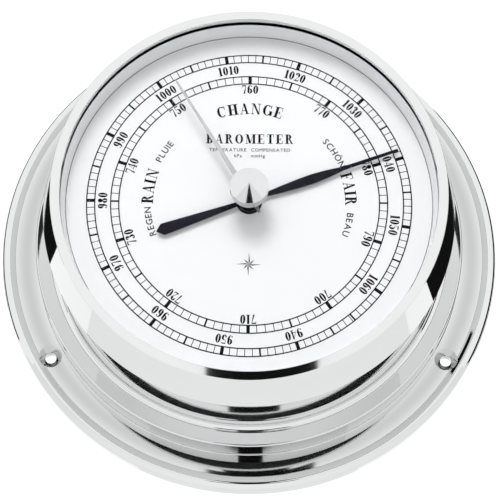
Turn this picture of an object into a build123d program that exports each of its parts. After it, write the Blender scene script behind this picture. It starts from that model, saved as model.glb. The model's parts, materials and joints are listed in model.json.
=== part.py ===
from build123d import *
import math
import os

# A ship's aneroid barometer: a chromed brass case with a wide screw flange, a dial under
# glass, a pressure pointer driven by an evacuated capsule, and a set hand on a knob.
#
# Everything is drawn lying on its back: the axis of the instrument is Z, the flange's back
# face is z = 0, the dial looks up, and 12 o'clock is +Y. save() stands each piece on the
# wall, so that in the finished part the dial faces -Y and 12 o'clock is +Z.
# All sizes are in millimetres. A suffix _r is a radius, _z a height above the flange's back.

# ---------------------------------------------------------------- driving dimensions
opening_r = 54.64          # clear opening of the bezel
case_depth = 49.7          # back of the flange to the top of the neck

# case
neck_wall = 3.1            # wall of the tubular neck
neck_bore_gap = 0.96       # how far the neck's bore stands outside the bezel's opening
bead_width = 6.3           # from the neck out to the wall of the raised bead
bead_height = 13.5
bead_dish = 1.2            # how much lower the bead is at the neck than at its edge
neck_root_round = 1.8
flange_width = 11.0        # from the bead's wall out to the flange's rim
flange_thick = 4.4
lip_height = 5.6           # rolled lip round the flange's rim
lip_width = 4.0
lip_crest_in = 2.2         # from the rim in to the lip's crest
lip_shoulder = 1.3         # how much lower the lip's shoulder is than its crest
back_bore_r = 52.0         # bore behind the neck, which leaves a ledge for the back cover
back_bore_z = 10.0
dial_ledge = 2.2           # how far the ledge under the dial stands in from the bore
dial_ledge_thick = 1.5

# mounting holes
mount_count = 3
mount_inset = 6.8          # from the flange's rim to the holes' circle
mount_hole_r = 1.7
mount_sink_r = 3.5

# glass, bezel and the parts between them and the dial
glass_thick = 2.0
glass_seat = 0.5           # thickness of the gasket under the glass
glass_grip = 2.0           # how much of the glass's edge the bezel covers
bezel_lip_thick = 1.5
bezel_taper = 3.3          # how much narrower the bezel is at the front than at the skirt
bezel_overhang = 2.0       # how far the skirt's lower edge stands out from the neck
spigot_wall = 1.4          # wall of the neck's spigot inside the bezel
bezel_skirt_drop = 11.3    # how far the skirt reaches down the neck
bezel_gap = 0.1            # slip fit of the bezel on the spigot
dial_sink = 5.4            # from the top of the neck down to the dial's face
dial_thick = 1.0
dial_hole_r = 3.8
edge_gap = 0.15            # clearance round the dial, the rehaut and the glass
rehaut_foot = 0.95         # how far the rehaut's foot stands in from the opening

# back cover
cover_thick = 1.5
cover_recess = 2.3
cover_grip = 5.0           # width of the ledge that the cover sits on
cover_gap = 0.1
cover_screw_len = 6.0
cover_screw_head_r = 2.0
driver_hole_r = 4.0        # access to the adjusting screw
vent_r = 1.0
vent_offset = 30.0

# movement: plates, pillars and their places
plate_r = 44.0
top_plate_thick = 1.5
base_plate_thick = 2.0
dial_pillar_len = 9.8
dial_pillar_r = 2.4
dial_pillar_circle = 38.0
pillar_len = 22.0
pillar_r = 3.0
pillar_circle = 39.0
lever_window = (3.4, 1.8, 6.0)   # room for the pull lever: outward, inward, lengthwise

# screws of the movement
screw_r = 1.0
screw_head_r = 1.9
screw_head = 1.2
screw_grip = 4.0           # how deep a plate screw goes into its pillar
tap_depth = 5.0

# aneroid capsule
capsule_r = 20.0
capsule_thick = 6.6
capsule_boss_r = 4.0
capsule_boss = 1.2
ridge_count = 4
ridge_height = 0.6
carrier_thick = 0.8        # the sprung strip that the capsule stands on
carrier_half_len = 28.0
carrier_width = 8.0
adjuster_r = 2.0           # screw that shifts the capsule to set the pointer
adjuster_head_r = 3.0
adjuster_head = 2.5
stem_r = 1.25              # stem that the capsule lifts
stem_sink = 2.3            # how deep the stem stands in the capsule's boss
stem_room = 0.5            # room under the stem for its inward travel
fork_half = 2.5            # half width of the fork at the stem's top
fork_slot = 2.0

# rocking lever: turns the capsule's lift into a sideways pull
lift_arm = 9.0             # capsule axis to the rocking arbor
link_above_sector = 1.1    # gap from the sector's upper face up to the middle of the link
arbor_above_boss = 3.0
rocker_r = 1.5
rocker_half_len = 21.5
rocker_hub_wall = 1.4
lever_thick = 1.6
lever_pin_r = 0.6
pivot_r = 0.6
link_pin_r = 0.5
pull_arm_x = -14.0
link_x = -15.5
bearing_thick = 2.5

# sector and pinion
gear_module = 0.3
pinion_teeth = 12
sector_turn_teeth = 216    # teeth that a whole wheel of the sector's size would have
sector_teeth_after = 12    # teeth cut to one side of the line of centres at rest
sector_teeth_before = 3    # and to the other side
sector_end_teeth = 1.0     # plain rim past the last tooth, in teeth
sector_addendum = 0.7      # in modules
pinion_addendum = 0.95
gear_dedendum = 1.25
gear_backlash = 0.07
pressure_angle = math.radians(20)
sector_thick = 0.8
sector_above_plate = 1.4
sector_tail = 4.0          # sector arbor to the link's pin

# bridge over the train
bridge_thick = 1.2
bridge_above_plate = 4.7
bridge_width = 8.0
bridge_feet = [(3.0, -12.0), (6.0, 34.0)]
bridge_pillar_r = 2.5

# hairspring
spring_inner_r = 2.5
spring_outer_r = 6.6
spring_turns = 4
spring_thick = 0.12
spring_height = 0.5
spring_below_bridge = 1.1

# pointers and knob
rest_pressure = 1039.0     # hPa, what the pressure pointer shows at rest
top_pressure = 1013.25     # hPa at 12 o'clock
degrees_per_hpa = 360 / 133.322
pointer_reach = 46.5
pointer_tail = 28.6
pointer_thick = 0.3
pointer_above_dial = 1.3
hub_r = 3.1
hub_neck_r = 1.6
hub_height = 2.3
hub_above_dial = 0.6
collar_thick = 0.2
set_hand_turn = -30.9      # degrees clockwise from 12 o'clock, as left by the last reader
set_hand_reach = 43.4
set_hand_thick = 0.3
set_hub_r = 2.6
set_hub_height = 1.0
nut_thick = 0.5            # nut of the bush, under the glass
set_stem_r = 1.5
bush_r = 2.3
bush_flange_r = 4.2
bush_flange = 0.3
knob_r = 5.55
knob_rim = 4.3             # height of the knurled rim
knob_cone = 2.3            # height of the cone above it
knob_lift = 0.4            # gap between glass and knob
knurl_count = 60
knurl_depth = 0.18

# fits
run_gap = 0.05             # radial clearance of a pivot in its bearing
thread_gap = 0.02          # radial clearance of a screw in its thread
plate_gap = 0.15           # radial clearance of a screw in a plain hole
link_gap = 0.25            # radial clearance of the link's two eyes
end_shake = 0.1            # lengthwise clearance of an arbor
nut_room = 0.3             # between the bush's nut and the set hand

# ---------------------------------------------------------------- sizes that follow
neck_bore_r = opening_r + neck_bore_gap
neck_r = neck_bore_r + neck_wall
spigot_r = neck_bore_r + spigot_wall
skirt_r = neck_r + bezel_overhang
bezel_foot_z = case_depth - bezel_skirt_drop
bead_r = neck_r + bead_width
flange_r = bead_r + flange_width
mount_circle = flange_r - mount_inset

dial_z = case_depth - dial_sink
dial_back_z = dial_z - dial_thick
dial_r = neck_bore_r - edge_gap
glass_z = case_depth + glass_seat
glass_top_z = glass_z + glass_thick
glass_r = opening_r + glass_grip
bezel_top_z = glass_top_z + bezel_lip_thick

plate_top_z = dial_back_z - dial_pillar_len
plate_under_z = plate_top_z - top_plate_thick
base_top_z = plate_under_z - pillar_len
base_under_z = base_top_z - base_plate_thick

capsule_z = base_top_z + carrier_thick + capsule_boss
capsule_top_z = capsule_z + capsule_thick
boss_top_z = capsule_top_z + capsule_boss
rocker_z = boss_top_z + arbor_above_boss

pinion_r = gear_module * pinion_teeth / 2
sector_r = gear_module * sector_turn_teeth / 2
gear_centres = pinion_r + sector_r
sector_x = link_x + sector_tail
sector_y = math.sqrt(gear_centres ** 2 - sector_x ** 2)
sector_z = plate_top_z + sector_above_plate
link_z = sector_z + sector_thick + link_above_sector
bridge_z = plate_top_z + bridge_above_plate
bridge_top_z = bridge_z + bridge_thick

pointer_z = dial_z + pointer_above_dial
hub_z = dial_z + hub_above_dial
hub_top_z = hub_z + hub_height
pointer_turn = (rest_pressure - top_pressure) * degrees_per_hpa
knob_z = glass_top_z + knob_lift
set_hub_top_z = glass_z - nut_thick - nut_room

cover_z = cover_recess - cover_thick
cover_screw_circle = back_bore_r + cover_grip / 2
spring_z = bridge_z - spring_below_bridge


# ---------------------------------------------------------------- makers
def turned(points):
    """A ring or disc turned about Z from a closed outline of (radius, z, corner round)."""
    outline = make_face(Polyline(*[(p[0], p[1]) for p in points], close=True))
    for p in points:
        if len(p) == 3:
            corner = outline.vertices().sort_by_distance((p[0], p[1], 0))[0]
            outline = fillet(corner, p[2])
    return revolve(Plane.XZ * outline, Axis.Z)


def rod(radius, z0, z1, x=0.0, y=0.0):
    """A round rod along Z."""
    return Pos(x, y, (z0 + z1) / 2) * Cylinder(radius, z1 - z0)


def rod_x(radius, x0, x1, y, z):
    """A round rod along X."""
    return Pos((x0 + x1) / 2, y, z) * Rot(0, 90, 0) * Cylinder(radius, x1 - x0)


def block(x0, x1, y0, y1, z0, z1):
    return Pos((x0 + x1) / 2, (y0 + y1) / 2, (z0 + z1) / 2) * Box(x1 - x0, y1 - y0, z1 - z0)


def bar(start, end, width, z0, z1):
    """A flat bar with round ends, from one point to another."""
    dx, dy = end[0] - start[0], end[1] - start[1]
    flat = SlotCenterToCenter(math.hypot(dx, dy), width)
    turn = math.degrees(math.atan2(dy, dx))
    place = Pos((start[0] + end[0]) / 2, (start[1] + end[1]) / 2, z0) * Rot(0, 0, turn)
    return place * extrude(flat, z1 - z0)


def circle_places(count, radius, first):
    """Places on a circle, counted anticlockwise from the first angle in degrees."""
    turns = [math.radians(first + 360 * i / count) for i in range(count)]
    return [(radius * math.cos(a), radius * math.sin(a)) for a in turns]


def cheese_screw(face_z, length, up, x, y, radius=screw_r):
    """A slotted cheese-head screw: the head stands on face_z, the shank goes the other way."""
    way = 1 if up else -1
    head = rod(screw_head_r, *sorted((face_z, face_z + way * screw_head)), x, y)
    shank = rod(radius, *sorted((face_z, face_z - way * length)), x, y)
    slot = Pos(x, y, face_z + way * screw_head) * Box(2 * screw_head_r + 1, 0.5, 1.0)
    return head + shank - slot


def sunk_screw(face_z, length, x, y, head_r, radius=screw_r):
    """A slotted countersunk screw, its flat head flush with a face that looks down."""
    depth = head_r - radius
    head = Pos(x, y, face_z + depth / 2) * Cone(head_r, radius, depth)
    shank = rod(radius, face_z + depth, face_z + length, x, y)
    slot = Pos(x, y, face_z) * Box(2 * head_r + 1, 0.5, 0.9)
    return head + shank - slot


# ---------------------------------------------------------------- gears
def involute(angle):
    return math.tan(angle) - angle


def tooth_half_angle(radius, teeth):
    """Half the angle that a tooth fills at one radius, thinned by the backlash."""
    pitch = gear_module * teeth / 2
    base = pitch * math.cos(pressure_angle)
    here = math.acos(min(1.0, base / max(radius, base)))
    thinning = gear_backlash / (2 * pitch)
    return math.pi / (2 * teeth) - thinning + involute(pressure_angle) - involute(here)


def tooth(teeth, addendum, centre_angle, z0, z1):
    """One gear tooth about Z, from below its root out to its tip."""
    pitch = gear_module * teeth / 2
    root = pitch - gear_dedendum * gear_module
    tip = pitch + addendum * gear_module
    steps = [root - 0.2] + [root + (tip - root) * i / 5 for i in range(6)]
    left = [(r, centre_angle + tooth_half_angle(r, teeth)) for r in steps]
    right = [(r, centre_angle - tooth_half_angle(r, teeth)) for r in reversed(steps)]
    points = [(r * math.cos(a), r * math.sin(a)) for r, a in left + right]
    outline = make_face(Polyline(*points, close=True))
    return Pos(0, 0, z0) * extrude(outline, z1 - z0)


# ---------------------------------------------------------------- case
def case_body():
    profile = [
        (back_bore_r + cover_grip, 0),
        (flange_r, 0, 0.5),
        (flange_r, lip_height - lip_shoulder, 1.6),
        (flange_r - lip_crest_in, lip_height, 1.2),
        (flange_r - lip_width, flange_thick, 1.2),
        (bead_r, flange_thick, 0.3),
        (bead_r, bead_height, 0.5),
        (neck_r, bead_height - bead_dish, neck_root_round),
        (neck_r, bezel_foot_z, 0.3),
        (spigot_r, bezel_foot_z),
        (spigot_r, case_depth),
        (neck_bore_r, case_depth),
        (neck_bore_r, dial_back_z),
        (neck_bore_r - dial_ledge, dial_back_z),
        (neck_bore_r - dial_ledge, dial_back_z - dial_ledge_thick),
        (neck_bore_r, dial_back_z - dial_ledge_thick),
        (neck_bore_r, back_bore_z),
        (back_bore_r, back_bore_z),
        (back_bore_r, cover_recess),
        (back_bore_r + cover_grip, cover_recess),
    ]
    body = turned(profile)
    sink = mount_sink_r - mount_hole_r
    for x, y in circle_places(mount_count, mount_circle, 90):
        body -= rod(mount_hole_r, -1, lip_height + 1, x, y)
        body -= Pos(x, y, flange_thick - sink / 2) * Cone(mount_hole_r, mount_sink_r, sink)
        body -= rod(mount_sink_r, flange_thick, lip_height + 1, x, y)
    for x, y in cover_screw_places():
        body -= rod(screw_r + thread_gap, 0, cover_screw_len + 1, x, y)
    return body


def bezel():
    bore_r = spigot_r + bezel_gap
    return turned([
        (opening_r, glass_top_z),
        (glass_r + edge_gap, glass_top_z),
        (glass_r + edge_gap, case_depth),
        (bore_r, case_depth),
        (bore_r, bezel_foot_z),
        (skirt_r, bezel_foot_z, 0.6),
        (skirt_r - bezel_taper, bezel_top_z, 0.25),
        (opening_r, bezel_top_z, 0.2),
    ])


def glass():
    return rod(glass_r, glass_z, glass_top_z) - rod(bush_r, glass_z - 1, glass_top_z + 1)


def glass_gasket():
    return turned([(neck_bore_r + 0.1, case_depth), (glass_r, case_depth),
                   (glass_r, glass_z), (neck_bore_r + 0.1, glass_z)])


def rehaut_ring():
    outer = neck_bore_r - edge_gap
    return turned([(opening_r - rehaut_foot, dial_z), (outer, dial_z), (outer, glass_z),
                   (opening_r - 0.05, glass_z)])


def dial():
    return rod(dial_r, dial_back_z, dial_z) - rod(dial_hole_r, dial_back_z - 1, dial_z + 1)


# ---------------------------------------------------------------- back cover
def cover_screw_places():
    return circle_places(mount_count, cover_screw_circle, 30)


def back_cover():
    plate = rod(back_bore_r + cover_grip - cover_gap, cover_z, cover_recess)
    plate -= rod(driver_hole_r, cover_z - 1, cover_recess + 1)
    plate -= rod(vent_r, cover_z - 1, cover_recess + 1, 0, vent_offset)
    sink = cover_screw_head_r - screw_r
    for x, y in cover_screw_places():
        plate -= rod(screw_r + thread_gap, cover_z - 1, cover_recess + 1, x, y)
        plate -= Pos(x, y, cover_z + sink / 2) * Cone(cover_screw_head_r + thread_gap,
                                                      screw_r + thread_gap, sink)
    return plate


def back_cover_screws():
    return [sunk_screw(cover_z, cover_screw_len - cover_z, x, y, cover_screw_head_r)
            for x, y in cover_screw_places()]


# ---------------------------------------------------------------- movement frame
def dial_pillar_places():
    return circle_places(3, dial_pillar_circle, 30)


def pillar_places():
    return circle_places(3, pillar_circle, 90)


def dial_pillars():
    return [rod(dial_pillar_r, plate_top_z, dial_back_z, x, y)
            - rod(screw_r + thread_gap, plate_top_z, plate_top_z + tap_depth, x, y)
            for x, y in dial_pillar_places()]


def dial_pillar_screws():
    return [cheese_screw(plate_under_z, top_plate_thick + screw_grip, False, x, y)
            for x, y in dial_pillar_places()]


def movement_top_plate():
    plate = rod(plate_r, plate_under_z, plate_top_z)
    for x, y in dial_pillar_places() + pillar_places() + bridge_feet:
        plate -= rod(screw_r + plate_gap, plate_under_z - 1, plate_top_z + 1, x, y)
    out, inward, along = lever_window
    plate -= block(pull_arm_x - out, pull_arm_x + inward, lift_arm - along, lift_arm + along,
                   plate_under_z - 1, plate_top_z + 1)
    plate -= rod(pivot_r + run_gap, plate_under_z - 1, plate_top_z + 1)
    plate -= rod(pivot_r + run_gap, plate_under_z - 1, plate_top_z + 1, sector_x, sector_y)
    return plate


def movement_base_plate():
    plate = rod(plate_r, base_under_z, base_top_z)
    plate -= rod(adjuster_r + run_gap, base_under_z - 1, base_top_z + 1)
    for x, y in pillar_places():
        plate -= rod(screw_r + plate_gap, base_under_z - 1, base_top_z + 1, x, y)
    for x, y in bearing_screw_places() + carrier_screw_places():
        plate -= rod(screw_r + thread_gap, base_under_z - 1, base_top_z + 1, x, y)
    return plate


def movement_pillars():
    return [rod(pillar_r, base_top_z, plate_under_z, x, y)
            - rod(screw_r + thread_gap, plate_under_z - tap_depth, plate_under_z, x, y)
            - rod(screw_r + thread_gap, base_top_z, base_top_z + tap_depth, x, y)
            for x, y in pillar_places()]


def top_plate_screws():
    return [cheese_screw(plate_top_z, top_plate_thick + screw_grip, True, x, y)
            for x, y in pillar_places()]


def base_plate_screws():
    return [cheese_screw(base_under_z, base_plate_thick + screw_grip, False, x, y)
            for x, y in pillar_places()]


# ---------------------------------------------------------------- adjusting screw
def adjusting_screw():
    head_top = base_under_z - end_shake
    head = rod(adjuster_head_r, head_top - adjuster_head, head_top)
    shank = rod(adjuster_r, head_top, base_top_z - run_gap)
    slot = Pos(0, 0, head_top - adjuster_head) * Box(2 * adjuster_head_r + 1, 0.8, 2.0)
    return head + shank - slot


# ---------------------------------------------------------------- capsule and its carrier
def carrier_screw_places():
    return [(-carrier_half_len + 3.5, 0.0), (carrier_half_len - 3.5, 0.0)]


def capsule_carrier():
    reach = carrier_half_len - carrier_width / 2
    strip = bar((-reach, 0), (reach, 0), carrier_width, base_top_z, base_top_z + carrier_thick)
    for x, y in carrier_screw_places():
        strip -= rod(screw_r + plate_gap, base_top_z - 1, base_top_z + 3, x, y)
    return strip


def carrier_screws():
    return [cheese_screw(base_top_z + carrier_thick, carrier_thick + 1.5, True, x, y)
            for x, y in carrier_screw_places()]


def aneroid_capsule():
    """Two corrugated discs brazed at the rim, with a boss above and below."""
    def wave(r):
        span = (capsule_r - 2.0 - capsule_boss_r) / ridge_count
        return ridge_height * math.sin(math.pi * (r - capsule_boss_r) / span) ** 2

    radii = [capsule_boss_r + (capsule_r - 2.0 - capsule_boss_r) * i / (8 * ridge_count)
             for i in range(8 * ridge_count + 1)]
    low = capsule_z + ridge_height
    high = capsule_top_z - ridge_height
    under = [(r, low - wave(r)) for r in radii]
    over = [(r, high + wave(r)) for r in reversed(radii)]
    middle = (low + high) / 2
    rim = [(capsule_r, middle - 0.5), (capsule_r, middle + 0.5)]
    points = [(0, base_top_z + carrier_thick), (capsule_boss_r, base_top_z + carrier_thick)]
    points += under + rim + over
    points += [(capsule_boss_r, boss_top_z), (0, boss_top_z)]
    stem_foot = boss_top_z - stem_sink - stem_room
    return turned(points) - rod(stem_r + run_gap, stem_foot, boss_top_z + 1)


def capsule_stem():
    fork_foot = boss_top_z + 0.6
    stem = rod(stem_r, boss_top_z - stem_sink, fork_foot + 0.5)
    fork = block(-fork_half, fork_half, -2.0, 2.0, fork_foot, rocker_z + 1.6)
    fork -= block(-fork_slot / 2, fork_slot / 2, -3, 3, fork_foot + 0.6, rocker_z + 3)
    pin = rod_x(lever_pin_r, -fork_half, fork_half, 0, rocker_z)
    return stem + fork + pin


# ---------------------------------------------------------------- rocking lever
def bearing_screw_places():
    spot = rocker_half_len + end_shake + bearing_thick + 3.0
    return [(-spot, lift_arm), (spot, lift_arm)]


def rocker_bearing(side):
    """A bracket that stands on the base plate and carries one end of the rocking arbor."""
    inner = rocker_half_len + end_shake
    x0, x1 = sorted((side * inner, side * (inner + bearing_thick)))
    post = block(x0, x1, lift_arm - 3, lift_arm + 3, base_top_z, rocker_z + 2.5)
    f0, f1 = sorted((side * inner, side * (inner + bearing_thick + 5.5)))
    foot = block(f0, f1, lift_arm - 3, lift_arm + 3, base_top_z, base_top_z + 1.5)
    spot = side * bearing_screw_places()[1][0]
    bracket = post + foot - rod(screw_r + plate_gap, base_top_z - 1, base_top_z + 3,
                                spot, lift_arm)
    return bracket - rod_x(pivot_r + run_gap, x0 - 1, x1 + 1, lift_arm, rocker_z)


def bearing_screws():
    return [cheese_screw(base_top_z + 1.5, 3.0, True, x, y)
            for x, y in bearing_screw_places()]


def rocker_arbor():
    pivot = rocker_half_len + end_shake + bearing_thick
    return (rod_x(rocker_r, -rocker_half_len, rocker_half_len, lift_arm, rocker_z)
            + rod_x(pivot_r, -pivot, pivot, lift_arm, rocker_z))


def bimetal_lever():
    """The arm from the arbor to the capsule's stem, slotted round the stem's pin."""
    half = lever_thick / 2
    hub = rod_x(rocker_r + rocker_hub_wall, -half, half, lift_arm, rocker_z)
    arm = block(-half, half, 0, lift_arm, rocker_z - 1.1, rocker_z + 1.1)
    tip = rod_x(1.1, -half, half, 0, rocker_z)
    hole = rod_x(lever_pin_r + 0.1, -half - 1, half + 1, 0, rocker_z)
    seat = rod_x(rocker_r + thread_gap, -half - 1, half + 1, lift_arm, rocker_z)
    return hub + arm + tip - hole - seat


def pull_lever():
    """The arm that stands on the arbor and pulls the link."""
    half = 0.6
    hub = rod_x(rocker_r + rocker_hub_wall, pull_arm_x - half, pull_arm_x + half, lift_arm, rocker_z)
    arm = block(pull_arm_x - half, pull_arm_x + half, lift_arm - 1.2, lift_arm + 1.2,
                rocker_z, link_z)
    tip = rod_x(1.2, pull_arm_x - half, pull_arm_x + half, lift_arm, link_z)
    pin = rod_x(link_pin_r, link_x - 0.6, pull_arm_x, lift_arm, link_z)
    seat = rod_x(rocker_r + thread_gap, pull_arm_x - 2, pull_arm_x + 2, lift_arm, rocker_z)
    return hub + arm + tip + pin - seat


def link_rod():
    """A flat rod with an eye at each end, one for a cross pin and one for an upright pin."""
    eye = link_pin_r + link_gap
    half = 0.35
    rod_body = block(link_x - half, link_x + half, lift_arm + 1.2, sector_y - 1.2,
                     link_z - half, link_z + half)
    low_eye = rod_x(eye + 0.7, link_x - half, link_x + half, lift_arm, link_z)
    low_eye -= rod_x(eye, link_x - 2, link_x + 2, lift_arm, link_z)
    high_eye = rod(eye + 0.7, link_z - half, link_z + half, link_x, sector_y)
    high_eye -= rod(eye, link_z - 2, link_z + 2, link_x, sector_y)
    return rod_body + low_eye + high_eye


# ---------------------------------------------------------------- sector, pinion, bridge
def sector_gear():
    """A toothed sector on its own arbor, with a tail that the link pulls."""
    to_centre = math.atan2(-sector_y, -sector_x)
    pitch_angle = 2 * math.pi / sector_turn_teeth
    ends = [to_centre - (sector_teeth_before + sector_end_teeth) * pitch_angle,
            to_centre + (sector_teeth_after + sector_end_teeth) * pitch_angle]
    root = sector_r - gear_dedendum * gear_module
    z1 = sector_z + sector_thick
    wedge = [(0, 0)] + [(50 * math.cos(a), 50 * math.sin(a))
                        for a in (ends[0], sum(ends) / 2, ends[1])]
    fan = Pos(0, 0, sector_z) * extrude(make_face(Polyline(*wedge, close=True)), sector_thick)
    plate = fan & rod(root, sector_z, z1)
    plate -= sector_window(ends, root, z1)
    for i in range(-sector_teeth_before, sector_teeth_after + 1):
        plate += tooth(sector_turn_teeth, sector_addendum, to_centre + i * pitch_angle,
                       sector_z, z1)
    tail = bar((0, 0), (-sector_tail, 0), 2.4, sector_z, z1)
    pin = rod(link_pin_r, sector_z, link_z + 0.7, -sector_tail, 0)
    gear = plate + rod(3.0, sector_z, z1) + tail + pin
    return Pos(sector_x, sector_y, 0) * (gear - rod(1.0 + thread_gap, sector_z - 1, z1 + 1))


def sector_window(ends, root, z1):
    """The opening that lightens the sector, kept 2 mm inside its two straight edges."""
    edge = 2.0
    inner, outer = 9.0, root - 3.0
    corners = []
    for r in (inner, outer):
        corners.append((r, ends[0] + edge / r))
        corners.append((r, ends[1] - edge / r))
    a, b, c, d = corners
    order = [a, c, (outer, (c[1] + d[1]) / 2), d, b]
    points = [(r * math.cos(t), r * math.sin(t)) for r, t in order]
    return Pos(0, 0, sector_z - 1) * extrude(make_face(Polyline(*points, close=True)),
                                             z1 - sector_z + 2)


def sector_arbor():
    low = plate_under_z + 0.2
    body = rod(1.0, plate_top_z + end_shake, bridge_z - end_shake)
    pivots = rod(pivot_r, low, bridge_top_z)
    collar = rod(2.0, sector_z - 0.6, sector_z)
    return Pos(sector_x, sector_y, 0) * (body + pivots + collar)


def pointer_arbor():
    """The pinion and the long arbor that carries the pressure pointer through the dial."""
    teeth_z0, teeth_z1 = sector_z - 0.5, sector_z + sector_thick + 0.5
    body = rod(1.0, plate_top_z + end_shake, bridge_z - end_shake)
    body += rod(pivot_r, plate_under_z + 0.2, hub_top_z)
    body += rod(pinion_r - gear_dedendum * gear_module, teeth_z0, teeth_z1)
    to_sector = math.atan2(sector_y, sector_x)
    step = 2 * math.pi / pinion_teeth
    for i in range(pinion_teeth):
        body += tooth(pinion_teeth, pinion_addendum, to_sector + (i + 0.5) * step,
                      teeth_z0, teeth_z1)
    return body


def train_bridge():
    low, high = bridge_feet
    plate = bar(low, (0, 0), bridge_width, bridge_z, bridge_top_z)
    plate += bar((0, 0), (sector_x, sector_y), bridge_width, bridge_z, bridge_top_z)
    plate += bar((sector_x, sector_y), high, bridge_width, bridge_z, bridge_top_z)
    for x, y in [(0, 0), (sector_x, sector_y)]:
        plate -= rod(pivot_r + run_gap, bridge_z - 1, bridge_top_z + 1, x, y)
    for x, y in bridge_feet:
        plate -= rod(screw_r + plate_gap, bridge_z - 1, bridge_top_z + 1, x, y)
    return plate


def bridge_pillars():
    return [rod(bridge_pillar_r, plate_top_z, bridge_z, x, y)
            - rod(screw_r + thread_gap, plate_top_z - 1, bridge_z + 1, x, y)
            for x, y in bridge_feet]


def bridge_screws():
    """Two screws to each pillar, from above and from below."""
    upper = [cheese_screw(bridge_top_z, bridge_thick + 1.8, True, x, y) for x, y in bridge_feet]
    lower = [cheese_screw(plate_under_z, top_plate_thick + 1.8, False, x, y)
             for x, y in bridge_feet]
    return upper + lower


# ---------------------------------------------------------------- hairspring
def spiral(radius_shift, steps):
    turns = [2 * math.pi * spring_turns * i / steps for i in range(steps + 1)]
    grow = (spring_outer_r - spring_inner_r) / (2 * math.pi * spring_turns)
    return [((spring_inner_r + grow * a + radius_shift) * math.cos(a),
             (spring_inner_r + grow * a + radius_shift) * math.sin(a)) for a in turns]


def hairspring():
    outer = spiral(spring_thick / 2, 16 * spring_turns)
    inner = spiral(-spring_thick / 2, 16 * spring_turns)
    edges = [Spline(*outer), Line(outer[-1], inner[-1]), Spline(*inner), Line(inner[0], outer[0])]
    return Pos(0, 0, spring_z) * extrude(make_face(edges), spring_height)


def hairspring_collet():
    z0, z1 = spring_z - 0.1, spring_z + spring_height + 0.1
    return rod(spring_inner_r - 0.25, z0, z1) - rod(1.0 + thread_gap, z0 - 1, z1 + 1)


def hairspring_stud():
    """Hangs from the bridge and grips the outer end of the spring."""
    reach = spring_outer_r + spring_thick / 2
    return block(reach, reach + 1.4, -0.8, 0.8, spring_z - 0.2, bridge_z)


def stud_arm():
    """A short arm of the bridge that the stud is pinned to."""
    reach = spring_outer_r + 2.0
    return bar((3.2, 0), (reach, 0), 3.0, bridge_z, bridge_top_z)


# ---------------------------------------------------------------- pressure pointer
def blade(stations, z0, thick, turn):
    """A flat hand: (distance, half width) along +Y, turned clockwise by an angle."""
    left = [(-w, d) for d, w in stations]
    right = [(w, d) for d, w in reversed(stations)]
    points = [p for i, p in enumerate(left + right) if p not in (left + right)[:i]]
    flat = make_face(Polyline(*points, close=True))
    return Pos(0, 0, z0) * Rot(0, 0, -turn) * extrude(flat, thick)


def pressure_pointer():
    tail, tip = -pointer_tail, pointer_reach
    stations = [(tail, 0.0), (tail + 1.9, 1.8), (-2.0, 0.55), (4.0, 0.5), (9.0, 0.95),
                (15.0, 1.35), (20.0, 1.45), (24.0, 1.2), (29.0, 0.62), (33.0, 0.52),
                (tip, 0.42)]
    eye = rod(hub_r - 0.2, pointer_z, pointer_z + pointer_thick)
    return (blade(stations, pointer_z, pointer_thick, pointer_turn) + eye
            - rod(hub_neck_r, pointer_z - 1, pointer_z + 1))


def pointer_hub():
    """A bobbin riveted through the pointer's eye."""
    return (rod(hub_r, hub_z + collar_thick, pointer_z)
            + rod(hub_neck_r, pointer_z, pointer_z + pointer_thick)
            + rod(hub_r - 0.5, pointer_z + pointer_thick, hub_top_z)
            - rod(pivot_r + thread_gap, hub_z - 1, hub_top_z + 1))


def hub_collar():
    return rod(hub_r + 0.2, hub_z, hub_z + collar_thick) - rod(
        pivot_r + thread_gap, hub_z - 1, hub_top_z + 1)


# ---------------------------------------------------------------- set hand and knob
def set_hand():
    stations = [(-6.0, 0.35), (0, 0.75), (8.0, 0.72), (30.0, 0.42), (set_hand_reach - 1.5, 0.3),
                (set_hand_reach, 0.0)]
    z0 = set_hub_top_z - set_hand_thick
    eye = rod(set_hub_r - 0.2, z0, set_hub_top_z)
    return (blade(stations, z0, set_hand_thick, set_hand_turn) + eye
            - rod(set_stem_r + thread_gap, z0 - 1, z0 + 1))


def set_hub():
    return (rod(set_hub_r, set_hub_top_z - set_hub_height, set_hub_top_z - set_hand_thick)
            - rod(set_stem_r + thread_gap, set_hub_top_z - 2, set_hub_top_z + 1))


def set_stem():
    return rod(set_stem_r, set_hub_top_z - set_hub_height, knob_z + knob_rim - 1.0)


def glass_bush():
    """Lines the hole in the glass, with a flange above and a nut below."""
    tube = rod(bush_r - edge_gap / 3, glass_z - nut_thick, glass_top_z)
    flange = rod(bush_flange_r, glass_top_z, glass_top_z + bush_flange)
    return tube + flange - rod(set_stem_r + run_gap, glass_z - 3, glass_top_z + 3)


def bush_nut():
    nut = Pos(0, 0, glass_z - nut_thick) * extrude(RegularPolygon(4.0, 6), nut_thick)
    return nut - rod(bush_r, glass_z - 2, glass_z + 1)


def set_knob():
    top = knob_z + knob_rim
    knob = turned([(0, knob_z), (knob_r - 0.5, knob_z), (knob_r, knob_z + 0.5), (knob_r, top),
                   (0, top + knob_cone)])
    for x, y in circle_places(knurl_count, knob_r, 0):
        knob -= rod(knurl_depth, knob_z + 1.2, top - 0.15, x, y)
    return knob - rod(set_stem_r + thread_gap, knob_z - 1, top - 1.0)


# ---------------------------------------------------------------- the finished nodes
def solids_of(shape):
    """One compound of separate solids, from a single piece or a list of like pieces."""
    pieces = shape if isinstance(shape, list) else [shape]
    return Compound(children=[s for piece in pieces for s in piece.solids()])


def save(name, shape):
    upright = Rot(90, 0, 0) * solids_of(shape)
    upright.label = name
    export_step(upright, f"parts/{name}.step")


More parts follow.
